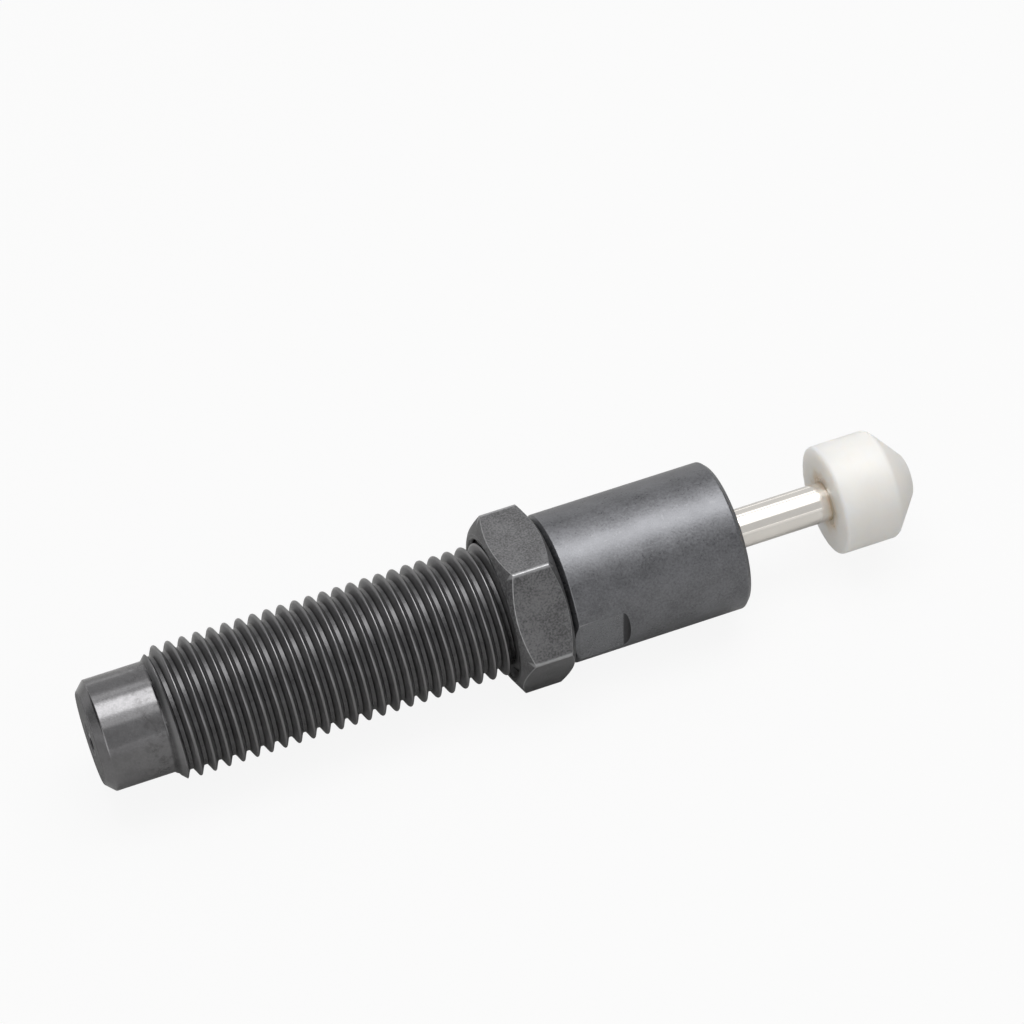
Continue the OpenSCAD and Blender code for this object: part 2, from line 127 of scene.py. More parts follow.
def add(tree, kind, settings=None, inputs=None, output=0):
    """Adds one node: its settings first, then its sockets by name or number, and returns an output."""
    node = tree.nodes.new(kind)
    for name, value in (settings or {}).items():
        setattr(node, name, value)
    for name, value in (inputs or {}).items():
        if isinstance(value, Flow):
            tree.links.new(value.socket, node.inputs[name])
        else:
            node.inputs[name].default_value = value
    return Flow(tree, node.outputs[output]) if node.outputs else node


# %% [markdown]
# ## A screw thread from a rule
# The thread is what one sees first on this absorber: fine right-hand turns along most of the housing. A
# modeller could sweep a groove and cut it away, but a boolean leaves slivers where the groove runs out.
# Here a flat grid is wrapped into a skin whose rows follow the helix, so each crest stays one clean line.
# The radius is a rule: down to the root and up to the crest once per pitch, and held under a 45 degree cone
# at each end, as the turner's chamfer does. The same tree makes the threads inside the nut and the collar,
# turned inside out by its Side input. It also marks the skin: above 0 where crests are rubbed, below 0
# where the roots are to get painted shade.

# %% The thread tree
THREAD_INPUTS = [
    ("Start", "Float", 0.0), ("End", "Float", 0.01), ("Crest radius", "Float", 0.007),
    ("Depth", "Float", 0.0009), ("Pitch", "Float", 0.0015), ("Phase", "Float", 0.0), ("Side", "Float", 1.0),
    ("Start radius", "Float", 0.006), ("End radius", "Float", 0.006), ("Segments", "Int", 120),
    ("Rows per turn", "Int", 12), ("Crowding", "Float", 0.0), ("Lobes", "Float", 6.0),
    ("Crowding turn", "Float", 0.0),
]
# rows are drawn together at each crest, by this share
CREST_CROWDING = 0.55
# across a tooth, in shares of half a pitch: half the crest's width, then the flank's
CREST_HALF, FLANK = 0.15, 0.58
CREST_ROUND, ROOT_ROUND = 0.3, 0.25
# down a tooth, in shares of its depth: where rubbing ends and painted shade begins; then how strong that shade is
RUBBED_DOWN_TO, PAINTED_SHADE_FROM, ROOT_PAINTED_SHADE = 0.55, 0.6, 0.8
TURN = 2 * math.pi


def new_tree(name, inputs):
    """A geometry tree with named inputs, a material among them; returns the tree and its input flows."""
    tree = bpy.data.node_groups.new(name, "GeometryNodeTree")
    for label, kind, value in inputs:
        socket = tree.interface.new_socket(name=label, in_out="INPUT", socket_type="NodeSocket" + kind)
        socket.default_value = value
    tree.interface.new_socket(name="Finish", in_out="INPUT", socket_type="NodeSocketMaterial")
    tree.interface.new_socket(name="Geometry", in_out="OUTPUT", socket_type="NodeSocketGeometry")
    node = tree.nodes.new("NodeGroupInput")
    return tree, {s.name: Flow(tree, s) for s in node.outputs if s.name}


def close_tree(tree, shape, finish):
    """Ends a tree in Realize Instances and Set Material."""
    whole = add(tree, "GeometryNodeRealizeInstances", {}, {"Geometry": shape})
    painted = add(tree, "GeometryNodeSetMaterial", {}, {"Geometry": whole, "Material": finish})
    tree.links.new(painted.socket, tree.nodes.new("NodeGroupOutput").inputs[0])


def thread_tree():
    """A screw thread between two rings; its sizes are in metres."""
    tree, get = new_tree("screw_thread", THREAD_INPUTS)
    length = (get["End"] - get["Start"]) / get["Pitch"]
    turns = length.sum_of("CEIL", length) + 4
    rows = turns * get["Rows per turn"]
    grid = add(tree, "GeometryNodeMeshGrid", {}, {
        "Size X": 1.0, "Size Y": 1.0, "Vertices X": rows + 1, "Vertices Y": get["Segments"] + 1})
    place = add(tree, "GeometryNodeInputPosition")
    along = add(tree, "ShaderNodeSeparateXYZ", {}, {0: place})
    across = Flow(tree, along.socket.node.outputs[1])
    turn = (across + 0.5) * TURN
    swing = (turn - get["Crowding turn"]) * get["Lobes"]
    angle = turn - get["Crowding"] * swing.sum_of("SINE", swing)
    share = angle / TURN
    step = (along + 0.5) * turns
    wave = step * TURN
    step = step - wave.sum_of("SINE", wave) * (CREST_CROWDING / TURN)
    first = (get["Start"] - get["Phase"]) / get["Pitch"]
    first = first.sum_of("FLOOR", first) - 2
    raw = get["Phase"] + get["Pitch"] * (first + step + share)
    x = raw.most(get["Start"]).least(get["End"])
    cycle = (x - get["Phase"]) / get["Pitch"] - share + 0.5
    tooth = cycle.sum_of("FRACT", cycle) - 0.5
    tooth = tooth.sum_of("ABSOLUTE", tooth) * 2
    fall = ((tooth - CREST_HALF) / FLANK).least(1, ROOT_ROUND).most(0, CREST_ROUND)
    side = get["Side"]
    wall = side * get["Crest radius"] - get["Depth"] * fall
    wall = wall.least(side * get["Start radius"] + x - get["Start"])
    wall = wall.least(side * get["End radius"] + get["End"] - x)
    radius = side * wall
    y, z = radius * angle.sum_of("COSINE", angle), radius * angle.sum_of("SINE", angle)
    point = add(tree, "ShaderNodeCombineXYZ", {}, {0: x, 1: y, 2: z})
    sunk = (get["Crest radius"] - radius) * side / get["Depth"]
    # marks below 0 call for painted shade in the thread's roots
    mark = (1 - sunk.step(0.05, RUBBED_DOWN_TO)) * side.most(0) - sunk.step(PAINTED_SHADE_FROM, 0.98) * ROOT_PAINTED_SHADE
    skin = add(tree, "GeometryNodeStoreNamedAttribute", {"data_type": "FLOAT", "domain": "POINT"}, {
        "Geometry": grid, "Name": "edge", "Value": mark})
    skin = add(tree, "GeometryNodeSetPosition", {}, {"Geometry": skin, "Position": point})
    close_tree(tree, skin, get["Finish"])
    return tree


screw_thread = thread_tree()
print("thread tree nodes:", len(screw_thread.nodes))

# %% [markdown]
# ## From outlines to solid skins
# Nearly every part here is turned on a lathe, so its shape is one outline spun round the axis. Wrench flats
# and hexagons only make the outline differ from one angle to the next. The helper below therefore takes an
# outline whose points may be numbers or one number for each angle. Each corner is eased over a short run,
# because a real edge is never sharp and catches a line of light. The eased rows are also marked as an edge,
# so that the finish can rub them bright later. A guard row on both sides keeps the long faces flat in
# shading.


# %% Outline helpers
def angles_of(segments, lobes=1, crowding=0.0, turn=0.0):
    """Angles round the axis, drawn together near every lobe."""
    even = np.linspace(0, TURN, segments, endpoint=False)
    return even - crowding * np.sin(lobes * (even - turn))


def corner(x, r, ease=0.0, wear_and_shade=0.0):
    """One outline point in mm, the run over which it is eased, and its wear, or its painted shade if below 0."""
    return x, r, ease, wear_and_shade


EASE_STEPS = 4
EASE_MOST = 0.42
GUARD, GUARD_MOST = 2.2, 0.46


def outline(corners, angles):
    """Rows of [x, r] and of edge wear and painted shade at every angle, with eased corners between plain ends."""
    wide = np.ones(len(angles))
    points = [np.stack([x * wide, r * wide], -1) for x, r, _, _ in corners]
    rows, wear_and_shade = [points[0]], [0 * wide]
    for i in range(1, len(corners) - 1):
        ease, edge_mark = corners[i][2], corners[i][3]
        here, back, on = points[i], points[i - 1] - points[i], points[i + 1] - points[i]
        if not np.any(ease):
            rows, wear_and_shade = rows + [here], wear_and_shade + [edge_mark * wide]
            continue
        back_l = np.maximum(np.linalg.norm(back, axis=1), 1e-9)
        on_l = np.maximum(np.linalg.norm(on, axis=1), 1e-9)
        run_back, run_on = np.minimum(ease, EASE_MOST * back_l), np.minimum(ease, EASE_MOST * on_l)
        a, b = back / back_l[:, None], on / on_l[:, None]
        start, stop = here + a * run_back[:, None], here + b * run_on[:, None]
        rows.append(here + a * np.minimum(GUARD * run_back, GUARD_MOST * back_l)[:, None])
        wear_and_shade.append(0 * wide)
        for k in range(EASE_STEPS + 1):
            t = k / EASE_STEPS
            rows.append((1 - t) ** 2 * start + 2 * t * (1 - t) * here + t * t * stop)
            wear_and_shade.append(edge_mark * wide * (1 - abs(2 * t - 1) * 0.5))
        rows.append(here + b * np.minimum(GUARD * run_on, GUARD_MOST * on_l)[:, None])
        wear_and_shade.append(0 * wide)
    return np.array(rows + [points[-1]]), np.array(wear_and_shade + [0 * wide])


def spin(corners, angles, extra=None):
    """The skin of an outline: its points in metres, four-sided faces, and edge wear and painted shade."""
    rows, wear_and_shade = outline(corners, angles)
    if extra is not None:
        wear_and_shade = np.maximum(wear_and_shade, extra(rows))
    count, around = rows.shape[:2]
    x, r = rows[..., 0], rows[..., 1]
    points = np.stack([x, r * np.cos(angles), r * np.sin(angles)], -1).reshape(-1, 3) * MM
    i, k = np.meshgrid(np.arange(count - 1), np.arange(around), indexing="ij")
    after = (k + 1) % around
    row, after_row = i * around, (i + 1) * around
    faces = np.stack([row + k, row + after, after_row + after, after_row + k], -1)
    return points, faces.reshape(-1, 4), wear_and_shade.reshape(-1)


def grow(tree, values):
    """Runs a geometry tree on an empty mesh and returns the plain mesh that it makes."""
    seed = bpy.data.objects.new("seed", bpy.data.meshes.new("seed"))
    bpy.context.scene.collection.objects.link(seed)
    modifier = seed.modifiers.new(tree.name, "NODES")
    modifier.node_group = tree
    for socket in tree.interface.items_tree:
        if socket.in_out == "INPUT" and socket.name in values:
            modifier[socket.identifier] = values[socket.name]
    graph = bpy.context.evaluated_depsgraph_get()
    grown = bpy.data.meshes.new_from_object(seed.evaluated_get(graph), depsgraph=graph)
    bpy.data.objects.remove(seed)
    return grown


def skin_of(mesh):
    """The points, faces, and edge wear and painted shade of a mesh of four-sided faces."""
    points = np.zeros(len(mesh.vertices) * 3)
    mesh.vertices.foreach_get("co", points)
    faces = np.zeros(len(mesh.loops), int)
    mesh.loops.foreach_get("vertex_index", faces)
    wear_and_shade = np.zeros(len(mesh.vertices))
    mesh.attributes["edge"].data.foreach_get("value", wear_and_shade)
    return points.reshape(-1, 3), faces.reshape(-1, 4), wear_and_shade


def make_piece(name, skins, sharp_deg=50):
    """Joins skins along their shared rings into one closed mesh with smooth faces that point outwards."""
    start = 0
    points, faces, wear_and_shade = [], [], []
    for skin_points, skin_faces, skin_wear_and_shade in skins:
        points.append(skin_points)
        faces.append(skin_faces + start)
        wear_and_shade.append(skin_wear_and_shade)
        start += len(skin_points)
    mesh = bpy.data.meshes.new(name)
    mesh.from_pydata(np.concatenate(points).tolist(), [], np.concatenate(faces).tolist())
    mesh.attributes.new("edge", "FLOAT", "POINT").data.foreach_set("value", np.concatenate(wear_and_shade))
    shape = bmesh.new()
    shape.from_mesh(mesh)
    bmesh.ops.remove_doubles(shape, verts=shape.verts, dist=1e-6)
    bmesh.ops.dissolve_degenerate(shape, dist=1e-8, edges=shape.edges)
    bmesh.ops.recalc_face_normals(shape, faces=shape.faces)
    open_edges = sum(1 for e in shape.edges if len(e.link_faces) != 2)
    volume = shape.calc_volume(signed=True)
    if volume < 0:
        bmesh.ops.reverse_faces(shape, faces=shape.faces)
    shape.to_mesh(mesh)
    shape.free()
    mesh.shade_smooth()
    mesh.set_sharp_from_angle(angle=math.radians(sharp_deg))
    made = bpy.data.objects.new(name, mesh)
    bpy.context.scene.collection.objects.link(made)
    print(f"{name}: {len(mesh.polygons)} faces, {open_edges} open edges, {abs(volume) * 1e9:.1f} mm3")
    return made


def stand_for(made, node):
    """Puts a finished piece in its solid's place, on the same body."""
    bodies = frame["record"]["behaviour"]["bodies"]
    body = next(b for b, nodes in bodies.items() if node in nodes)
    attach(made, body)
    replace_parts(made, node)


# %% [markdown]
# ## The threaded housing
# On the real part this is one turned steel bar, drilled from the front, threaded nearly from end to end and
# blackened. The rear end is left smooth, a little smaller than the thread's root, and the thread starts with
# a 45 degree chamfer. The thread skin and the spun outline share their end rings, so they weld into one
# watertight shell with its bore, ring groove and filling hole.

# %% Housing
PITCH = 1.5
THREAD_R = 7.0
THREAD_DEPTH = 0.92
THREAD_PHASE = -0.185
TAIL_R = 5.85
TAIL_L = 7.15
TAIL_CHAMFER = 1.0
FRONT_R = 6.05
BORE_R, GLAND_BORE_R, RING_GROOVE_R = 4.8, 5.2, 5.55
FILL_R, FILL_PORT_R = 1.525, 0.7
housing_x, housing_x1, _ = span("housing")
gland_x = span("seal_gland")[0]
ring_x, ring_x1, _ = span("retaining_ring")
base_x = span("tube_base")[0]
fill_seal_x1 = span("fill_seal")[1]
thread_x = housing_x + TAIL_L


def thread_skin(start, end, radius, depth, start_r, end_r, segments, side=1.0, rows=12, pitch=PITCH,
                phase=THREAD_PHASE, crowding=0.0, lobes=6, turn=0.0):
    """A thread's skin between two rings, from the screw_thread tree; sizes in mm, side -1 for a nut's."""
    mesh = grow(screw_thread, {
        "Start": start * MM, "End": end * MM, "Crest radius": radius * MM, "Depth": depth * MM,
        "Pitch": pitch * MM, "Phase": phase * MM, "Side": side, "Start radius": start_r * MM,
        "End radius": end_r * MM, "Segments": segments, "Rows per turn": rows, "Crowding": crowding,
        "Lobes": float(lobes), "Crowding turn": turn})
    return skin_of(mesh)


HOUSING_SEGMENTS = 120
MOUTH_CHAMFER, GROOVE_GAP, LEAD_L = 0.3, 0.05, 0.25
groove_x1 = ring_x1 + GROOVE_GAP
around = angles_of(HOUSING_SEGMENTS)
housing_thread = thread_skin(
    thread_x, housing_x1, THREAD_R, THREAD_DEPTH, TAIL_R, FRONT_R, HOUSING_SEGMENTS)
housing_rest = spin([
    corner(housing_x1, FRONT_R),
    corner(housing_x1, GLAND_BORE_R + MOUTH_CHAMFER, 0.05, 0.6),
    corner(housing_x1 - MOUTH_CHAMFER, GLAND_BORE_R, 0.05),
    corner(groove_x1, GLAND_BORE_R), corner(groove_x1, RING_GROOVE_R),
    corner(ring_x, RING_GROOVE_R), corner(ring_x, GLAND_BORE_R),
    corner(gland_x, GLAND_BORE_R), corner(gland_x, BORE_R),
    corner(base_x, BORE_R), corner(base_x, FILL_PORT_R),
    corner(fill_seal_x1, FILL_PORT_R), corner(fill_seal_x1, FILL_R),
    corner(housing_x + MOUTH_CHAMFER, FILL_R), corner(housing_x, FILL_R + MOUTH_CHAMFER, 0.06, 0.8),
    corner(housing_x, TAIL_R - TAIL_CHAMFER, 0.12, 0.8),
    corner(housing_x + TAIL_CHAMFER, TAIL_R, 0.12, 0.8),
    corner(thread_x - LEAD_L, TAIL_R), corner(thread_x, TAIL_R),
], around)
housing = make_piece("threaded_housing", [housing_thread, housing_rest])
stand_for(housing, "housing")

# %% [markdown]
# ## The lock nut
# A thin hexagon nut, pressed and then faced, with a 30 degree chamfer on both sides. Where the cone meets
# the flats it leaves the curved lines that make a nut look like a nut. The outline's radius follows the
# hexagon, and the chamfer's depth follows that radius, so the curves come by themselves. The angles crowd
# at the six corners, where the edge is rounded and worn.

# %% Nut
NUT_AF = 17.0
NUT_FACE_SHARE = 0.94
NUT_CHAMFER = math.tan(math.radians(30))
NUT_BORE_R = 7.05
NUT_THREAD_DEPTH = 0.5
NUT_SEGMENTS = 240
NUT_CROWDING = 0.75 / 6
CORNER_ROUND = 0.22
CORNER_WEAR_W, FACE_EDGE_W = 0.5, 0.2
nut_x, nut_x1, _ = span("lock_nut")
nut_turns = angles_of(NUT_SEGMENTS, 6, NUT_CROWDING)


def hexagon(angles, across_flats, rounding):
    """Radius of a hexagon with corners at 0, 60, 120 ... degrees, each rounded to a small arc."""
    off = (angles + TURN / 12) % (TURN / 6) - TURN / 12
    flat = across_flats / 2 / np.cos(TURN / 12 - np.abs(off))
    centre = (across_flats / 2 - rounding) / math.cos(TURN / 12)
    inside = np.maximum(rounding ** 2 - (centre * np.sin(off)) ** 2, 0)
    arc = centre * np.cos(off) + np.sqrt(inside)
    touch = math.atan2(rounding / 2, centre + rounding * math.cos(TURN / 12))
    return np.where(np.abs(off) < touch, arc, flat), off


hex_r, hex_off = hexagon(nut_turns, NUT_AF, CORNER_ROUND)
face_r = NUT_FACE_SHARE * NUT_AF / 2
chamfer_l = (hex_r - face_r) * NUT_CHAMFER
nut_mouth = NUT_BORE_R + NUT_THREAD_DEPTH


def nut_corner_wear(rows):
    """Wear along the six corners, which fades to each side."""
    across = np.abs(np.sin(hex_off)) * rows[..., 1]
    on_flat = rows[..., 1] > face_r + FACE_EDGE_W
    return on_flat * np.clip(1 - across / CORNER_WEAR_W, 0, 1)


nut_shell = spin([
    corner(nut_x, nut_mouth), corner(nut_x, face_r, 0.08, 0.5),
    corner(nut_x + chamfer_l, hex_r, 0.09, 0.72), corner(nut_x1 - chamfer_l, hex_r, 0.09, 0.62),
    corner(nut_x1, face_r, 0.08, 0.5), corner(nut_x1, nut_mouth),
], nut_turns, nut_corner_wear)
nut_thread = thread_skin(
    nut_x, nut_x1, NUT_BORE_R, NUT_THREAD_DEPTH, nut_mouth, nut_mouth, NUT_SEGMENTS, side=-1.0, rows=10,
    crowding=NUT_CROWDING)
nut = make_piece("hexagon_lock_nut", [nut_shell, nut_thread])
stand_for(nut, "lock_nut")

# %% [markdown]
# ## The stop collar
# A plain round sleeve that is screwed on the front of the housing. Its front rim takes the load at the end
# of the stroke, and two shallow flats at the rear let a wrench hold it. The cutter's rounded corner leaves
# each flat with a hollow end that climbs to the round surface. The angles of the grid are shifted a little,
# so that one falls on the flat's edge and the edge is a single clean line.

# %% Collar
COLLAR_R = 8.0
COLLAR_CHAMFER = 0.5
FLAT_DEPTH = 0.5
FLAT_L = 5.22
RUNOUT_R = 0.75
FLAT_TURN = math.radians(99)
COLLAR_BORE_R = 6.188
COLLAR_THREAD_R = 7.05
COLLAR_THREAD_DEPTH = 0.24
TAP_RUNOUT = 2.0
COLLAR_SEGMENTS = 240
EDGE_NEAR, FLAT_EDGE_WEAR = 0.006, 1.3
collar_x, collar_x1, _ = span("stop_collar")
flat_half = math.acos((COLLAR_R - FLAT_DEPTH) / COLLAR_R)
grid_half = math.ceil(flat_half / (TURN / COLLAR_SEGMENTS)) * TURN / COLLAR_SEGMENTS
collar_crowding = (grid_half - flat_half) / math.sin(2 * grid_half)
# FLAT_TURN is counted from straight up and the grid's angles from +Y, so a quarter turn lies between them
flat_normal = FLAT_TURN + TURN / 4
collar_turns = angles_of(COLLAR_SEGMENTS, 2, collar_crowding, flat_normal)
from_flat = (collar_turns - flat_normal + TURN / 4) % (TURN / 2) - TURN / 4
flat_r = np.minimum(COLLAR_R, (COLLAR_R - FLAT_DEPTH) / np.cos(from_flat))
flat_x1 = collar_x + FLAT_L
flat_sunk = np.clip(COLLAR_R * np.cos(from_flat) - (COLLAR_R - FLAT_DEPTH), 0, None)
runout_turn = np.arccos(1 - flat_sunk / RUNOUT_R)
tap_x = housing_x1 + TAP_RUNOUT
collar_mouth = COLLAR_THREAD_R + COLLAR_THREAD_DEPTH


def flat_edge_wear(rows):
    """Wear along the two long edges of each flat, in the one column of points that lies on each."""
    on_edge = np.abs(np.abs(from_flat) - flat_half) < EDGE_NEAR
    return on_edge * (rows[..., 0] < flat_x1) * (rows[..., 1] > COLLAR_R - 0.05) * FLAT_EDGE_WEAR


def runout(share):
    """Places on the hollow end of each flat, from its foot at 0 to the round surface at 1."""
    turned = share * runout_turn
    height = COLLAR_R - FLAT_DEPTH + RUNOUT_R * (1 - np.cos(turned))
    return flat_x1 + RUNOUT_R * np.sin(turned), np.where(flat_sunk > 0, height / np.cos(from_flat), flat_r)


# painted shade on the hollow end of each flat, carried as a mark below 0
runout_shade = -np.clip(flat_sunk / 0.1, 0, 1)
collar_shell = spin([
    corner(tap_x, collar_mouth), corner(tap_x, COLLAR_BORE_R, 0.05, 0.3),
    corner(collar_x1 - COLLAR_CHAMFER, COLLAR_BORE_R, 0.06, 0.4),
    corner(collar_x1, COLLAR_BORE_R + COLLAR_CHAMFER, 0.08, 0.7),
    corner(collar_x1, COLLAR_R - COLLAR_CHAMFER, 0.1, 0.8),
    corner(collar_x1 - COLLAR_CHAMFER, COLLAR_R, 0.1, 0.8),
    corner(*runout(1), 0.05, np.where(flat_sunk > 0.02, 0.4, 0)),
    corner(*runout(0.75), 0, runout_shade), corner(*runout(0.5), 0, runout_shade),
    corner(*runout(0.25), 0, runout_shade * 0.7), corner(*runout(0), 0, runout_shade * 0.3),
    corner(collar_x + COLLAR_CHAMFER - COLLAR_R + flat_r, flat_r, 0.08, 0.8),
    corner(collar_x, COLLAR_R - COLLAR_CHAMFER, 0.05, 0.5), corner(collar_x, collar_mouth),
], collar_turns, flat_edge_wear)
collar_thread = thread_skin(
    collar_x, tap_x, COLLAR_THREAD_R, COLLAR_THREAD_DEPTH, collar_mouth, collar_mouth, COLLAR_SEGMENTS,
    side=-1.0, rows=10, crowding=collar_crowding, lobes=2, turn=flat_normal)
collar = make_piece("wrench_flat_stop_collar", [collar_shell, collar_thread])
stand_for(collar, "stop_collar")

# %% [markdown]
# ## Rod and impact cap
# The rod is ground, chromed and polished, and carries a snap groove for the cap. The cap is turned from
# white engineering plastic, which stands millions of blows. Its tapered crown ends in a small flat, so a
# load that is slightly out of line still pushes along the axis.

# %% Rod and cap
ROD_R, SPIGOT_R, STUD_R = 2.1, 1.7, 1.25
SNAP_DEPTH, SNAP_L = 0.3, 0.8
SPIGOT_L = 5.2
ROD_SEAT_L = 1.0
CROWN_L = 3.0
STRIKE_R = 2.3
CAP_R = 5.8981
HOLE_GAP = 0.0125
cap_x, cap_x1, _ = span("impact_cap")
rod_x = span("piston_rod")[0]
shoulder_x = span("valve_seat")[1]
spigot_x = cap_x + ROD_SEAT_L
spigot_x1 = spigot_x + SPIGOT_L
snap_x = spigot_x + (SPIGOT_L - SNAP_L) / 2
snap_x1 = snap_x + SNAP_L
hole_r = SPIGOT_R + HOLE_GAP
ROUND_SEGMENTS = 128
round_turns = angles_of(ROUND_SEGMENTS)
rod = make_piece("polished_piston_rod", [spin([
    corner(rod_x, 0), corner(rod_x, STUD_R, 0.2),
    corner(shoulder_x, STUD_R), corner(shoulder_x, ROD_R, 0.12, 0.5),
    corner(spigot_x, ROD_R, 0.1), corner(spigot_x, SPIGOT_R),
    corner(snap_x, SPIGOT_R, 0.04), corner(snap_x, SPIGOT_R - SNAP_DEPTH),
    corner(snap_x1, SPIGOT_R - SNAP_DEPTH), corner(snap_x1, SPIGOT_R, 0.04),
    corner(spigot_x1, SPIGOT_R, 0.3), corner(spigot_x1, 0),
], round_turns)])
stand_for(rod, "piston_rod")
cap = make_piece("white_impact_cap", [spin([
    corner(spigot_x1, 0), corner(spigot_x1, hole_r),
    corner(snap_x1, hole_r), corner(snap_x1, hole_r - SNAP_DEPTH),
    corner(snap_x, hole_r - SNAP_DEPTH), corner(snap_x, hole_r),
    corner(spigot_x, hole_r), corner(spigot_x, ROD_R + HOLE_GAP),
    corner(cap_x, ROD_R + HOLE_GAP, 0.08), corner(cap_x, CAP_R, 0.4, 1),
    corner(cap_x1 - CROWN_L, CAP_R, 0.36, 1), corner(cap_x1, STRIKE_R, 0.3, 1), corner(cap_x1, 0),
], round_turns)])
stand_for(cap, "impact_cap")

# %% [markdown]
# ## The filling screw
# After the oil is in, a small socket set screw with a soft seal closes the rear end. It is the one detail
# on the rear face, so it gets a real thread, a coned socket mouth and a six-sided socket. The thread comes
# from the same tree as the large one, with a finer pitch.

# %% Filling screw
SCREW_R, SCREW_DEPTH, SCREW_PITCH = 1.49, 0.3, 0.5
SCREW_CORE_R = SCREW_R - SCREW_DEPTH
SOCKET_AF, SOCKET_L = 1.5, 1.3
SOCKET_ROUND, SOCKET_MOUTH_R, DRILL_TIP_L, TIP_R = 0.04, 0.93, 0.3, 0.5
SCREW_SEGMENTS, SCREW_CROWDING = 96, 0.6 / 6
screw_x, screw_x1, _ = span("fill_screw")
screw_turns = angles_of(SCREW_SEGMENTS, 6, SCREW_CROWDING)
socket_r, _ = hexagon(screw_turns, SOCKET_AF, SOCKET_ROUND)
screw_thread_skin = thread_skin(
    screw_x, screw_x1, SCREW_R, SCREW_DEPTH, SCREW_CORE_R, SCREW_CORE_R, SCREW_SEGMENTS, rows=8,
    pitch=SCREW_PITCH, phase=0.0, crowding=SCREW_CROWDING)
socket = spin([
    corner(screw_x, SCREW_CORE_R), corner(screw_x, SOCKET_MOUTH_R, 0.03, 0.6),
    corner(screw_x + SOCKET_MOUTH_R - socket_r, socket_r), corner(screw_x + SOCKET_L, socket_r),
    corner(screw_x + SOCKET_L + DRILL_TIP_L, 0),
], screw_turns)
tip = spin([corner(screw_x1, SCREW_CORE_R), corner(screw_x1, TIP_R), corner(screw_x1, 0)], screw_turns)
fill_screw = make_piece("socket_fill_screw", [screw_thread_skin, socket, tip])
stand_for(fill_screw, "fill_screw")

# %% [markdown]
# ## The return spring
# A spring coiler feeds straight wire against a finger, so the shape is a path rule: one closed turn at each
# end and open turns between. The tree bends a straight run of points along that rule, sweeps the wire's
# round section over it and caps the ends. The spring is drawn at one length; only how short it closes as
# the rod goes in is worked out.

# %% Spring
SPRING_INPUTS = [
    ("Rear end", "Float", 0.0), ("Length", "Float", 0.028), ("Wire", "Float", 0.0006),
    ("Coil radius", "Float", 0.003), ("Coils", "Float", 10.0), ("Steps per coil", "Int", 36),
    ("Wire sides", "Int", 12),
]


def spring_tree():
    """A coil spring with closed end turns; its sizes are in metres."""
    tree, get = new_tree("coil_spring", SPRING_INPUTS)
    line = add(tree, "GeometryNodeMeshLine", {"mode": "OFFSET"}, {
        "Count": get["Coils"] * get["Steps per coil"] + 1, "Offset": (MM, 0, 0)})
    turn = add(tree, "GeometryNodeInputIndex") / get["Steps per coil"]
    inner = get["Coils"] - 2
    rise = get["Wire"] * (turn.least(1) + (turn - get["Coils"] + 1).most(0) + 0.5)
    rise = rise + (get["Length"] - get["Wire"] * 3) * (turn - 1).most(0).least(inner) / inner
    angle = turn * TURN
    point = add(tree, "ShaderNodeCombineXYZ", {}, {
        0: get["Rear end"] + rise, 1: get["Coil radius"] * angle.sum_of("COSINE", angle),
        2: get["Coil radius"] * angle.sum_of("SINE", angle)})
    path = add(tree, "GeometryNodeSetPosition", {}, {"Geometry": line, "Position": point})
    path = add(tree, "GeometryNodeMeshToCurve", {}, {"Mesh": path})
    section = add(tree, "GeometryNodeCurvePrimitiveCircle", {"mode": "RADIUS"}, {
        "Resolution": get["Wire sides"], "Radius": get["Wire"] / 2})
    wire = add(tree, "GeometryNodeCurveToMesh", {}, {
        "Curve": path, "Profile Curve": section, "Fill Caps": True})
    close_tree(tree, wire, get["Finish"])
    return tree


WIRE_D = 0.6
COIL_R = 2.95
spring_x = span("return_spring")[0]
guide_x = span("piston_guide")[0]
coil_spring = spring_tree()
spring_l = guide_x - spring_x
spring_mesh = grow(coil_spring, {
    "Rear end": spring_x * MM, "Length": spring_l * MM, "Wire": WIRE_D * MM, "Coil radius": COIL_R * MM,
})
spring_mesh.name = "return_coil_spring"
spring_mesh.shade_smooth()
spring_mesh.set_sharp_from_angle(angle=math.radians(60))
spring = bpy.data.objects.new("return_coil_spring", spring_mesh)
bpy.context.scene.collection.objects.link(spring)
stand_for(spring, "return_spring")
stroke = -next(j for j in frame["joints"] if j["name"] == "rod_stroke")["range_m"][0] / MM
1 - stroke / spring_l
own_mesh(spring)
spring_faces = len(spring_mesh.polygons)
print(f"spring: {spring_faces} faces, {spring_l:.2f} mm long, closes to {spring_l - stroke:.2f}")

# %% [markdown]
# ## Foam sleeve and cushion
# Two soft pieces work out of sight. When the rod goes in, its volume of oil has to go somewhere, so a
# sleeve of closed-cell foam round the bearing gives way. It is cut from a block, so its skin is all opened
# cells, and it swells a little between its ends. The cushion that the piston meets when the rod is fully
# out is moulded polyurethane, with round edges and a waist that lets it bulge.

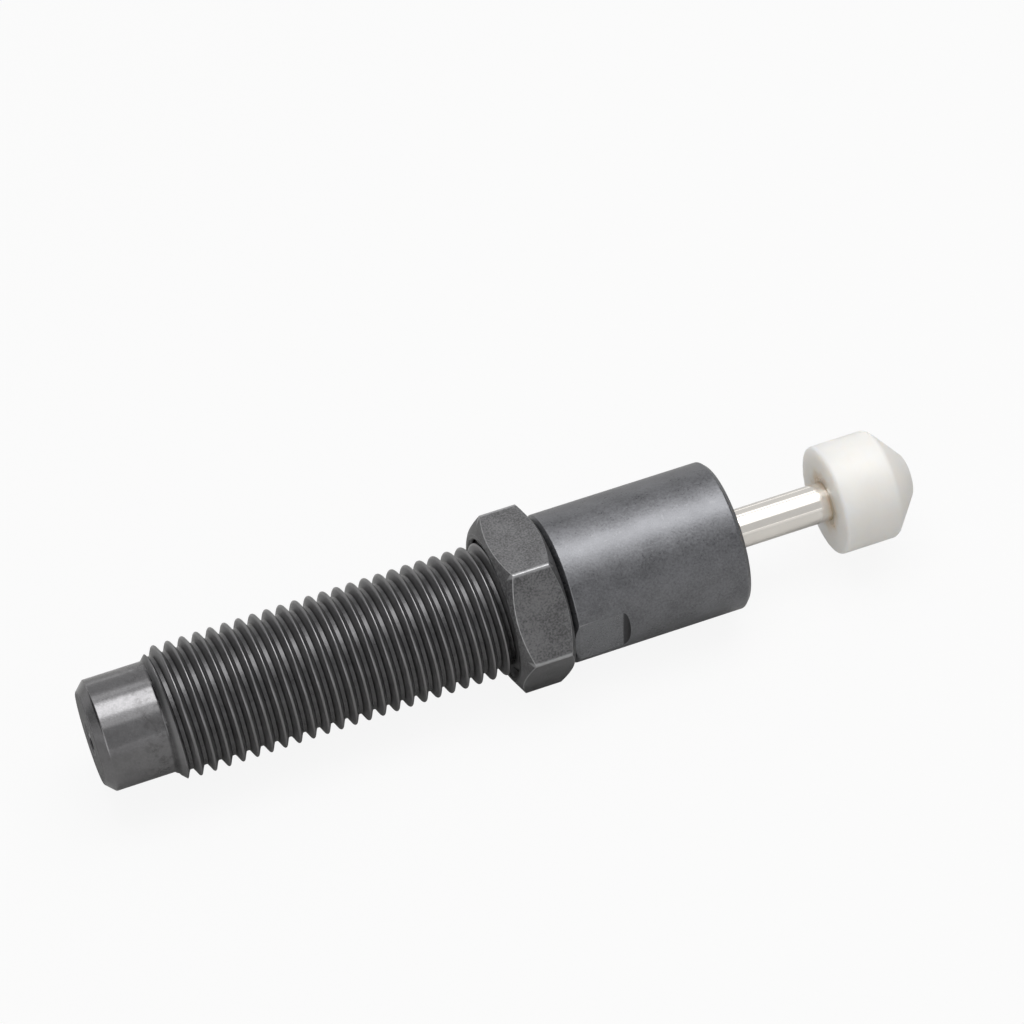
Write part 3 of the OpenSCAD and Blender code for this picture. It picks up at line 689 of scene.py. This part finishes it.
# %% Foam and cushion
FOAM_BORE_R, CUSHION_BORE_R = 2.95, 2.2
FOAM_CROWN, FOAM_EDGE, EDGE_POWER = 0.1, 0.15, 16
CELL_DEPTH, CELL_ROWS, CELL_SEED = 0.05, 26, 11
WAIST_DEPTH, WAIST_HALF_L, LIP_W = 0.3, 0.7, 0.25
foam_x, foam_x1, foam_r = span("accumulator_foam")
cushion_x, cushion_x1, cushion_r = span("rebound_bumper")
cells = np.random.default_rng(CELL_SEED).random((CELL_ROWS, ROUND_SEGMENTS)) * CELL_DEPTH
foam_corners = [corner(foam_x, FOAM_BORE_R)]
for t, opened in zip(np.linspace(0, 1, CELL_ROWS), cells):
    sunk = FOAM_CROWN * (2 * t - 1) ** 2 + FOAM_EDGE * abs(2 * t - 1) ** EDGE_POWER
    foam_corners.append(corner(foam_x + (foam_x1 - foam_x) * t, foam_r - sunk - opened))
foam_corners += [corner(foam_x1, FOAM_BORE_R), corner(foam_x, FOAM_BORE_R)]
foam = make_piece("accumulator_foam_sleeve", [spin(foam_corners, round_turns)], 70)
stand_for(foam, "accumulator_foam")
cushion_middle = (cushion_x + cushion_x1) / 2
cushion = make_piece("rebound_cushion", [spin([
    corner(cushion_x, CUSHION_BORE_R), corner(cushion_x, CUSHION_BORE_R + LIP_W, 0.1),
    corner(cushion_x, cushion_r, 0.4), corner(cushion_middle - WAIST_HALF_L, cushion_r, 0.3),
    corner(cushion_middle, cushion_r - WAIST_DEPTH, 0.35),
    corner(cushion_middle + WAIST_HALF_L, cushion_r, 0.3),
    corner(cushion_x1, cushion_r, 0.4), corner(cushion_x1, CUSHION_BORE_R + LIP_W, 0.1),
    corner(cushion_x1, CUSHION_BORE_R), corner(cushion_x, CUSHION_BORE_R),
], round_turns)])
stand_for(cushion, "rebound_bumper")

# %% [markdown]
# ## Finishes
# A metal finish is mostly how it was worked: the lathe leaves rings, the grinder leaves finer ones, the
# blackening bath dulls everything a little and unevenly, and handling brings brighter steel back at the
# edges. So one recipe serves all the metals, with the amounts of each as its values. Rings are noise read
# at (distance along the axis, distance from the axis), which makes it equal all round, as a lathe does.


# %% Finish helpers
def new_finish(name):
    """An empty material; returns it, its tree and the point on the surface in millimetres."""
    material = bpy.data.materials.new(name)
    material.use_nodes = True
    tree = material.node_tree
    tree.nodes.clear()
    place = add(tree, "ShaderNodeTexCoord", {}, {}, 3)
    point = add(tree, "ShaderNodeVectorMath", {"operation": "SCALE"}, {0: place, 3: 1 / MM})
    return material, tree, point


def parts_of(tree, point):
    """Distance along the axis and distance from it, in millimetres."""
    x = add(tree, "ShaderNodeSeparateXYZ", {}, {0: point})
    y, z = Flow(tree, x.socket.node.outputs[1]), Flow(tree, x.socket.node.outputs[2])
    return x, (y * y + z * z) ** 0.5


def noise(tree, point, per_mm, detail=2.0, roughness=0.5):
    """Cloudy noise from 0 to 1, about 0.5 on average."""
    return add(tree, "ShaderNodeTexNoise", {}, {
        "Vector": point, "Scale": per_mm, "Detail": detail, "Roughness": roughness})


def rings(tree, x, r, per_mm):
    """Fine uneven rings, the same all round the axis."""
    where = add(tree, "ShaderNodeCombineXYZ", {}, {0: x * per_mm, 1: r * per_mm, 2: 0.0})
    return noise(tree, where, 1.0, 3.0, 0.6)


def tint(tree, share, first, second):
    """Mixes two colours by share."""
    node = tree.nodes.new("ShaderNodeMix")
    node.data_type = "RGBA"
    for slot, value in ((0, share), (6, first), (7, second)):
        if isinstance(value, Flow):
            tree.links.new(value.socket, node.inputs[slot])
        else:
            node.inputs[slot].default_value = (*value, 1) if slot else value
    return Flow(tree, node.outputs[2])


def finish_off(material, tree, colour, roughness, height, relief_mm, settings):
    """Joins colour, roughness and relief to the surface shader; plain numbers sit on its sockets."""
    bump = add(tree, "ShaderNodeBump", {}, {"Height": height, "Distance": relief_mm * MM, "Strength": 1.0})
    surface = add(tree, "ShaderNodeBsdfPrincipled", {}, {
        **settings, "Base Color": colour, "Roughness": roughness, "Normal": bump})
    add(tree, "ShaderNodeOutputMaterial", {}, {"Surface": surface})
    return material


# the colour of the painted shade in marked hollows
HOLLOW_PAINTED_SHADE = (0.02, 0.02, 0.021)


def edge_wear_and_shade(tree, point, amount):
    """Where marked edges are rubbed bright and marked hollows get painted shade, both broken up by noise."""
    marked = add(tree, "ShaderNodeAttribute", {"attribute_name": "edge"}, {}, 2)
    broken = noise(tree, point, 1.6, 4.0, 0.65)
    rubbed = ((marked * amount) + (broken - 0.5) * 0.7 * marked).step(0.3, 0.75)
    # the second value is where marked hollows get painted shade
    return rubbed, (marked * -1).most(0) * (broken * 0.6 + 0.5)


CLOUDS_PER_MM = 0.35


def worked_metal(name, colour, rough, edge_mark=None, wear_and_shade=0.0, worn_rough=0.3, ring_per_mm=9.0, ring=0.25,
                 grain_per_mm=5.0, grain=0.3, mottle=0.25, relief_mm=0.004, metallic=1.0, extra=None):
    """Turned metal: rings, grain, mottled bath colour, rubbed edges and painted shade in marked hollows.

    extra may change the shade and the roughness, and says where the relief is calmer.
    """
    material, tree, point = new_finish(name)
    x, r = parts_of(tree, point)
    turned = rings(tree, x, r, ring_per_mm) - 0.5
    pits = noise(tree, point, grain_per_mm, 3.0, 0.6) - 0.5
    clouds = noise(tree, point, CLOUDS_PER_MM, 3.0, 0.55) - 0.5
    dark = tuple(c * (1 - mottle) for c in colour)
    light = tuple(min(c * (1 + mottle), 1) for c in colour)
    mix = clouds * 1.6 + turned * ring * 1.5 + pits * grain * 1.5 + 0.5
    shade = tint(tree, mix.most(0).least(1), dark, light)
    roughness = clouds * 0.12 + turned * ring * 0.25 + pits * grain * 0.3 + rough
    calm = 0.0
    if extra:
        shade, roughness, calm = extra(tree, x, r, point, shade, roughness)
    if wear_and_shade:
        rubbed, painted_shade = edge_wear_and_shade(tree, point, wear_and_shade)
        shade = tint(tree, rubbed, shade, edge_mark)
        # painted shade in marked hollows: the thread roots and the flats' hollow ends
        shade = tint(tree, painted_shade.least(1), shade, HOLLOW_PAINTED_SHADE)
        roughness = roughness * (1 - rubbed) * (1 - painted_shade * 0.6) + rubbed * worn_rough
    height = (turned * ring + pits * grain) * (1 - calm)
    roughness = roughness.most(0.04).least(1)
    return finish_off(material, tree, shade, roughness, height, relief_mm, {"Metallic": metallic})


# %% [markdown]
# ## Black finishes of the outside
# Housing, nut and collar are all blackened steel, yet no two look alike. The housing's smooth end is glossy
# with dull blots, and its crests are a little rubbed. The nut came from a tumbler, so it is duller and
# speckled. The collar is satin with fine rings. A few pale specks of dust sit in the thread. The rod's
# chrome comes from the same recipe, with next to no grain.

# %% Outside finishes
# the second colour here is painted shade, for the housing's end face and the flats' hollow ends
POLISHED_BLACK, PAINTED_SHADE_BLACK = (0.19, 0.187, 0.191), (0.05, 0.05, 0.052)
THREAD_BLACK, MILLED_BLACK = (0.25, 0.247, 0.25), (0.25, 0.255, 0.265)
STAIN = (0.055, 0.053, 0.052)
DUST, COLLAR_DUST = (0.3, 0.29, 0.28), (0.3, 0.3, 0.31)


def glossy_tail(tree, x, r, point, shade, roughness):
    """Polishes the smooth rear end and gives its end face painted shade and a rougher surface; the thread stays
    satin and holds dust.
    """
    on_thread = x.step(thread_x - 0.1, thread_x + 0.2)
    on_tail = 1 - on_thread
    shaded_end_face = 1 - x.step(housing_x + 0.02, housing_x + 0.12)
    blots = noise(tree, point, 1.3, 3.0, 0.6).step(0.42, 0.7) * on_tail
    stains = blots * (x.step(thread_x - 3.6, thread_x - 1.6) * 0.7 + 0.3)
    dust = noise(tree, point, 3.1, 2.0, 0.7).step(0.71, 0.74) * on_thread
    shade = tint(tree, on_tail * 0.6, shade, POLISHED_BLACK)
    shade = tint(tree, stains * 0.4, shade, STAIN)
    # painted shade on the rear end face
    shade = tint(tree, shaded_end_face * 0.6, shade, PAINTED_SHADE_BLACK)
    shade = tint(tree, on_thread * 0.6, shade, THREAD_BLACK)
    shade = tint(tree, dust * 0.6, shade, DUST)
    roughness = roughness * (on_thread * 0.63 + 0.37) + stains * 0.1 + shaded_end_face * 0.35
    return shade, roughness, on_tail * 0.75


def milled_flats(tree, x, r, point, shade, roughness):
    """Shines the milled wrench flats more than the turned skin, and darkens their hollow ends with painted shade.
    """
    cut = (1 - r.step(COLLAR_R - 0.05, COLLAR_R - 0.02)) * r.step(COLLAR_R - 0.7, COLLAR_R - 0.6)
    hollow = x.step(flat_x1 - 0.05, flat_x1 + 0.2)
    flat = cut * (1 - hollow) * x.step(collar_x + COLLAR_CHAMFER, collar_x + COLLAR_CHAMFER + 0.1)
    end = cut * hollow * (1 - x.step(flat_x1 + RUNOUT_R, flat_x1 + RUNOUT_R + 0.1))
    dust = noise(tree, point, 2.4, 3.0, 0.75).step(0.58, 0.7)
    shade = tint(tree, flat * 0.34, shade, MILLED_BLACK)
    shade = tint(tree, dust * 0.3, shade, COLLAR_DUST)
    # painted shade on the hollow end of each flat
    shade = tint(tree, end * 0.85, shade, PAINTED_SHADE_BLACK)
    return shade, roughness - flat * 0.06 + end * 0.15, 0.0


black_oxide = worked_metal(
    "glossy_black_oxide", (0.185, 0.183, 0.187), rough=0.5, edge_mark=(0.2, 0.197, 0.2), wear_and_shade=0.8,
    worn_rough=0.28, ring_per_mm=7.0, ring=0.3, grain_per_mm=5.0, grain=1.3, mottle=0.3, relief_mm=0.008,
    extra=glossy_tail)
grey_oxide = worked_metal(
    "tumbled_grey_oxide", (0.148, 0.147, 0.15), rough=0.5, edge_mark=(0.36, 0.36, 0.365), wear_and_shade=0.95,
    worn_rough=0.3, ring_per_mm=3.0, ring=0.06, grain_per_mm=4.6, grain=2.4, mottle=0.36, relief_mm=0.015,
    metallic=0.8)
black_satin = worked_metal(
    "satin_black_oxide", (0.172, 0.174, 0.183), rough=0.37, edge_mark=(0.3, 0.3, 0.31), wear_and_shade=0.62,
    worn_rough=0.35, ring_per_mm=8.0, ring=0.14, grain_per_mm=4.2, grain=1.7, mottle=0.22, relief_mm=0.009,
    extra=milled_flats)
chrome = worked_metal(
    "polished_chrome", (0.85, 0.815, 0.765), rough=0.12, ring_per_mm=14.0, ring=0.12, grain_per_mm=6.0,
    grain=0.04, mottle=0.04, relief_mm=0.0015)
print("outside finishes:", black_oxide.name, grey_oxide.name, black_satin.name, chrome.name)

# %% [markdown]
# ## Inside finishes
# The oil works unseen, but the parts it passes are finished for their work: the tube and base are ground
# steel, the piston and bearing are bronze that wears before the tube does, the gland is turned aluminium.
# Rubber, foam and the cap's plastic are not metals, so each has a recipe of its own.

# %% Inside finishes
steel = worked_metal(
    "ground_steel", (0.5, 0.5, 0.52), rough=0.3, ring_per_mm=10.0, ring=0.3, grain=0.15, mottle=0.12)
dark_steel = worked_metal(
    "phosphated_steel", (0.16, 0.16, 0.17), rough=0.42, edge_mark=(0.52, 0.52, 0.53), wear_and_shade=0.8,
    ring_per_mm=6.0, ring=0.1, grain_per_mm=6.0, grain=0.5)
spring_steel = worked_metal(
    "drawn_spring_wire", (0.36, 0.37, 0.4), rough=0.28, ring_per_mm=3.0, ring=0.1, grain_per_mm=8.0,
    mottle=0.2)
bronze = worked_metal("bearing_bronze", (0.6, 0.4, 0.18), rough=0.32, ring=0.3, grain=0.2, mottle=0.18)
gland_aluminium = worked_metal(
    "turned_aluminium", (0.68, 0.69, 0.71), rough=0.3, ring_per_mm=7.0, ring=0.4, grain=0.15, mottle=0.1)


def moulded(name, colour, rough, grain_per_mm, grain, relief_mm, settings=None):
    """Rubber or plastic with a faint moulded grain and a bloom of dust."""
    material, tree, point = new_finish(name)
    pits = noise(tree, point, grain_per_mm, 3.0, 0.6) - 0.5
    clouds = noise(tree, point, 0.4, 3.0, 0.5) - 0.5
    dark = tuple(c * 0.75 for c in colour)
    light = tuple(min(c * 1.35 + 0.01, 1) for c in colour)
    shade = tint(tree, (clouds * 1.5 + pits * grain + 0.5).most(0).least(1), dark, light)
    roughness = pits * 0.2 + clouds * 0.15 + rough
    return finish_off(material, tree, shade, roughness, pits * grain, relief_mm, settings or {})


black_rubber = moulded(
    "black_nitrile", (0.018, 0.018, 0.02), rough=0.5, grain_per_mm=6.0, grain=0.4, relief_mm=0.01)
bumper_rubber = moulded(
    "red_brown_polyurethane", (0.32, 0.07, 0.03), rough=0.4, grain_per_mm=4.0, grain=0.3, relief_mm=0.01,
    settings={"Subsurface Weight": 0.1, "Subsurface Scale": 0.001})


def closed_cell_foam():
    """Foam: small cells with paler walls between them."""
    material, tree, point = new_finish("closed_cell_foam")
    cells = add(tree, "ShaderNodeTexVoronoi", {}, {"Vector": point, "Scale": 3.2, "Randomness": 0.9})
    wall = cells.step(0.15, 0.6)
    shade = tint(tree, wall, (0.03, 0.033, 0.042), (0.11, 0.115, 0.135))
    return finish_off(material, tree, shade, wall * 0.1 + 0.75, wall, 0.08, {})


def turned_plastic():
    """Waxy warm white with faint lathe rings, a trace of oil at the rod and a struck crown."""
    material, tree, point = new_finish("turned_white_plastic")
    x, r = parts_of(tree, point)
    turned = rings(tree, x, r, 5.0) - 0.5
    clouds = noise(tree, point, 0.25, 3.0, 0.55) - 0.5
    mix = clouds * 1.4 + turned * 0.3 + 0.5
    shade = tint(tree, mix.most(0).least(1), (0.765, 0.745, 0.71), (0.82, 0.80, 0.77))
    smear = noise(tree, point, 0.7, 3.0, 0.6)
    oiled = (1 - (r + smear * 1.6).step(2.7, 4.8)) * (1 - x.step(cap_x + 0.3, cap_x + 1.2))
    shade = tint(tree, oiled * 0.85, shade, (0.6, 0.42, 0.2))
    struck = (1 - r.step(1.2, STRIKE_R + 0.3)) * x.step(cap_x1 - 0.4, cap_x1 - 0.1) * smear.step(0.45, 0.7)
    shade = tint(tree, struck * 0.35, shade, (0.5, 0.48, 0.45))
    roughness = turned * 0.12 + clouds * 0.1 + 0.4 - oiled * 0.15
    waxy = {"Subsurface Weight": 0.85, "Subsurface Radius": (1.0, 0.85, 0.7), "Subsurface Scale": 0.006}
    return finish_off(material, tree, shade, roughness, turned, 0.004, waxy)


FINISHES = {
    "black_oxide": black_oxide, "grey_oxide": grey_oxide, "black_satin": black_satin, "chrome": chrome,
    "steel": steel, "dark_steel": dark_steel, "spring_steel": spring_steel, "bronze": bronze,
    "gland_aluminium": gland_aluminium, "black_rubber": black_rubber, "bumper_rubber": bumper_rubber,
    "foam": closed_cell_foam(), "white_plastic": turned_plastic(),
}
print("finishes:", len(FINISHES))

# %% [markdown]
# ## Finishes on pieces
# The record says which finish each solid has. A solid that keeps its own shape takes it directly, and a
# piece that stands for one takes the same.

# %% Put the finishes on
made_here = (housing, nut, collar, rod, cap, fill_screw, spring, foam, cushion)
dressed = {made["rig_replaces"][0]: made for made in made_here}
for row in frame["record"]["subparts"]:
    wearer = dressed.get(row["node"], frame["nodes"][row["node"]])
    wearer.data.materials.clear()
    wearer.data.materials.append(FINISHES[row["material_slot"]])
print("dressed pieces:", len(dressed), "solids with a new finish:", len(frame["nodes"]) - len(dressed))

# %% [markdown]
# ## The studio
# A plain sweep: a flat floor whose far rim rises, so that every view has the same background. The camera
# sees it nearly as pure white, while a soft shadow stays under the part. Polished metal mirrors it as plain
# paper close by, which keeps undersides dark, and as nearly white further off. A large soft light overhead,
# with a brighter core under it, gives each round surface a band of light along its top that fades to both
# sides. Three weaker lights fill in from behind, from the front and from the rear end.

# %% Floor
FLOOR_Z = -0.00852
FLOOR_FLAT, FLOOR_RIM, RIM_RISE = 1.4, 2.6, 0.55
FLOOR_TURNS = 96
rim = np.linspace(0, 1, 13)
radii = np.concatenate([[0, 0.2], FLOOR_FLAT + (FLOOR_RIM - FLOOR_FLAT) * rim])
heights = np.concatenate([[0, 0], RIM_RISE * rim ** 2]) + FLOOR_Z
sweep_points = []
sweep_faces = []
for i, (r, h) in enumerate(zip(radii, heights)):
    for k in range(FLOOR_TURNS):
        turn = TURN * k / FLOOR_TURNS
        sweep_points.append((r * math.cos(turn), r * math.sin(turn), h))
        if i:
            here, after = i * FLOOR_TURNS, (k + 1) % FLOOR_TURNS
            inner = here - FLOOR_TURNS
            sweep_faces.append((inner + k, here + k, here + after, inner + after))
sweep_mesh = bpy.data.meshes.new("sweep")
sweep_mesh.from_pydata(sweep_points, [], sweep_faces)
sweep_mesh.shade_smooth()
sweep = bpy.data.objects.new("sweep", sweep_mesh)
bpy.context.scene.collection.objects.link(sweep)

SEEN_NEAR, SEEN_FAR = 0.9, 0.99
MIRRORED_FAR = 0.75
NEAR_M, FAR_M = 0.08, 0.5
paper = bpy.data.materials.new("white_paper")
paper.use_nodes = True
tree = paper.node_tree
tree.nodes.clear()
matt = add(tree, "ShaderNodeBsdfDiffuse", {}, {"Color": (0.6, 0.598, 0.59, 1)})
glow = add(tree, "ShaderNodeEmission", {}, {"Color": (1, 1, 1, 1), "Strength": 1.0})
seen_by_camera = add(tree, "ShaderNodeLightPath")
outputs = seen_by_camera.socket.node.outputs
mirrored = Flow(tree, outputs["Is Glossy Ray"]).most(Flow(tree, outputs["Is Transmission Ray"]))
spot = add(tree, "ShaderNodeTexCoord", {}, {}, 3)
away = add(tree, "ShaderNodeVectorMath", {"operation": "LENGTH"}, {0: spot}, 1).step(NEAR_M, FAR_M)
seen = seen_by_camera * (away * (SEEN_FAR - SEEN_NEAR) + SEEN_NEAR)
seen = seen.most(mirrored * away * MIRRORED_FAR)
both = add(tree, "ShaderNodeMixShader", {}, {0: seen, 1: matt, 2: glow})
add(tree, "ShaderNodeOutputMaterial", {}, {"Surface": both})
sweep_mesh.materials.append(paper)
print("floor at", round(FLOOR_Z / MM, 2), "mm, sweep faces:", len(sweep_mesh.polygons))


# %% Lights
def softbox(name, place, aim, size, brightness):
    """A rectangular soft light; brightness is how bright its face looks, so its power follows its area."""
    lamp = bpy.data.lights.new(name, "AREA")
    lamp.shape = "RECTANGLE"
    lamp.size, lamp.size_y = size
    lamp.energy = brightness * math.pi * size[0] * size[1]
    light = bpy.data.objects.new(name, lamp)
    light.location = place
    light.rotation_euler = (Vector(aim) - Vector(place)).to_track_quat("-Z", "Y").to_euler()
    bpy.context.scene.collection.objects.link(light)


softbox("overhead", (0.066, 0.015, 0.34), (0.066, 0.015, 0), (0.42, 0.5), 0.84)
softbox("overhead_core", (0.066, 0.01, 0.32), (0.066, 0.01, 0), (0.38, 0.18), 2.85)
softbox("back_fill", (0.0, 0.42, 0.3), (0.0, 0, 0.01), (0.8, 0.55), 0.6)
softbox("front_fill", (-0.05, -0.34, 0.32), (0.0, 0, 0.0), (0.7, 0.6), 0.5)
softbox("side_fill", (-0.33, -0.28, 0.14), (0.0, 0, 0.0), (0.35, 0.35), 1.0)

world = bpy.data.worlds.new("studio")
bpy.context.scene.world = world
world.use_nodes = True
background = world.node_tree.nodes["Background"]
background.inputs["Color"].default_value = (0.97, 0.98, 1.0, 1)
background.inputs["Strength"].default_value = 0.1
print("lamps:", len(bpy.data.lights))

# %% [markdown]
# ## The camera
# It looks down at the part from the side and a little from the rear end, from about 35 cm, with a slight
# roll. The lens is long, so the part keeps nearly parallel sides.

# %% Camera
AZIMUTH, ELEVATION, ROLL = math.radians(-16.15), math.radians(42.95), math.radians(-6.46)
DISTANCE = 0.35133
TARGET = Vector((0.00315, 0, 0.01229))
FOCAL_SHARE = 3.4126
SENSOR = 36.0
flat_back = Vector((math.sin(AZIMUTH), -math.cos(AZIMUTH), 0))
back = flat_back * math.cos(ELEVATION) + Vector((0, 0, math.sin(ELEVATION)))
level = Vector((math.cos(AZIMUTH), math.sin(AZIMUTH), 0))
upward = back.cross(level)
right = level * math.cos(ROLL) + upward * math.sin(ROLL)
up = upward * math.cos(ROLL) - level * math.sin(ROLL)
camera_data = bpy.data.cameras.new("portrait")
camera_data.sensor_width = SENSOR
camera_data.lens = FOCAL_SHARE * SENSOR
camera = bpy.data.objects.new("portrait", camera_data)
facing = Matrix((right, up, back)).transposed().to_4x4()
camera.matrix_world = Matrix.Translation(TARGET + back * DISTANCE) @ facing
camera_data.clip_start, camera_data.clip_end = 0.01, 20
bpy.context.scene.collection.objects.link(camera)
bpy.context.scene.camera = camera
print("camera stands", round(DISTANCE / MM), "mm from the part")
bpy.context.scene.view_settings.view_transform = "Standard"
